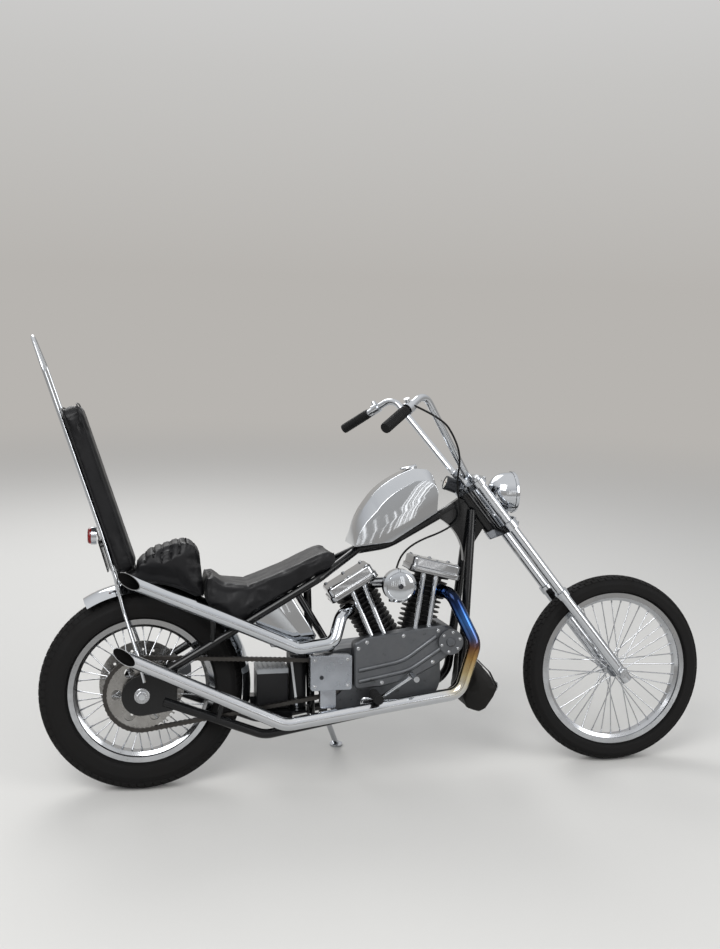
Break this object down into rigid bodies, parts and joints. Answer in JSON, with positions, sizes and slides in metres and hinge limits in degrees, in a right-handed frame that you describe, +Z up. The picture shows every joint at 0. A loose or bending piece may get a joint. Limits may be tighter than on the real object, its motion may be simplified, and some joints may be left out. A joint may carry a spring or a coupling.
{
  "type": "chopper motorcycle",
  "caption": "Long-forked rigid-frame chopper motorcycle with high handlebars, tall sissy bar and backrest, a V-twin engine and swept exhaust pipes, leaning on its side stand.",
  "frame": {"origin": "on the floor, under the centre of the whole motorcycle's bounding box", "axes": "+X towards the front wheel, +Y to the motorcycle's left, +Z up; the machine leans 8 degrees towards +Y"},
  "size_m": [2.4134, 0.832, 1.5218],
  "materials": {
    "black_frame_paint": "gloss black enamel",
    "black_iron": "black painted iron",
    "black_leather": "black saddle leather",
    "black_plastic": "moulded case",
    "black_rubber": "moulded rubber",
    "black_vinyl": "pleated black vinyl",
    "cast_aluminium": "bare casting",
    "chrome": "polished chrome plate",
    "clear_glass": "pressed glass",
    "polished_aluminium": "buffed casting",
    "red_lens": "red moulded lens",
    "steel": "bare steel",
    "tyre": "matt black rubber"
  },
  "bodies": {
    "frame": {"rear_axle": "chrome", "backbone": "black_frame_paint", "axle_plates": "black_frame_paint", "cradle": "black_frame_paint", "upper_stays": "black_frame_paint", "fender": "chrome", "sissy_bar": "chrome", "backrest": "black_vinyl", "passenger_pad": "black_vinyl", "rider_seat": "black_vinyl", "fuel_tank": "chrome", "drive_chain": "steel", "crankcase": "cast_aluminium", "cylinders": "black_iron", "rocker_boxes": "polished_aluminium", "cam_cover": "polished_aluminium", "generator": "chrome", "sprocket_cover": "polished_aluminium", "primary_cover": "polished_aluminium", "pushrod_tubes": "chrome", "carburettor": "cast_aluminium", "air_cleaner": "chrome", "upper_pipe": "chrome", "lower_pipe": "chrome", "pipe_hangers": "black_frame_paint", "battery": "black_plastic", "electrics_box": "black_plastic", "oil_tank": "chrome", "battery_tray": "black_frame_paint", "foot_pegs": "black_rubber", "foot_levers": "chrome", "brake_caliper": "cast_aluminium", "plate_bracket": "black_frame_paint", "tail_light": "chrome", "tail_lens": "red_lens", "filler_cap": "chrome", "carburettor_cable": "black_rubber", "tool_pouch": "black_leather"},
    "rear_wheel": {"rear_tyre": "tyre", "rear_wheel": "chrome", "rear_sprocket": "steel", "brake_disc": "steel"},
    "fork": {"fork_tubes": "chrome", "fork_sliders": "chrome", "front_axle": "chrome", "top_tree": "chrome", "bottom_tree": "chrome", "handlebar": "chrome", "grips": "black_rubber", "headlight_shell": "chrome", "headlight_lens": "clear_glass", "speedometer": "chrome", "hand_controls": "chrome", "throttle_cable": "black_rubber"},
    "front_wheel": {"front_tyre": "tyre", "front_wheel": "chrome"},
    "side_stand": {"side_stand": "chrome"}
  },
  "joints": [
    {"name": "rear_wheel_spin", "type": "hinge", "parent": "frame", "child": "rear_wheel", "pos_m": [-0.84369, -0.13149, 0.33676], "axis": [0, 0.9903, -0.1392], "continuous": true},
    {"name": "steering", "type": "hinge", "parent": "frame", "child": "fork", "pos_m": [0.33238, -0.04762, 0.93352], "axis": [-0.6157, 0.1097, 0.7803], "range_deg": [-30, 30]},
    {"name": "front_wheel_spin", "type": "hinge", "parent": "fork", "child": "front_wheel", "pos_m": [0.86431, -0.13107, 0.33973], "axis": [0, 0.9903, -0.1392], "continuous": true},
    {"name": "side_stand_swing", "type": "hinge", "parent": "frame", "child": "side_stand", "pos_m": [-0.20369, -0.00069, 0.18962], "axis": [0.0239, 0.919, 0.3935], "range_deg": [0, 99.9]}
  ]
}
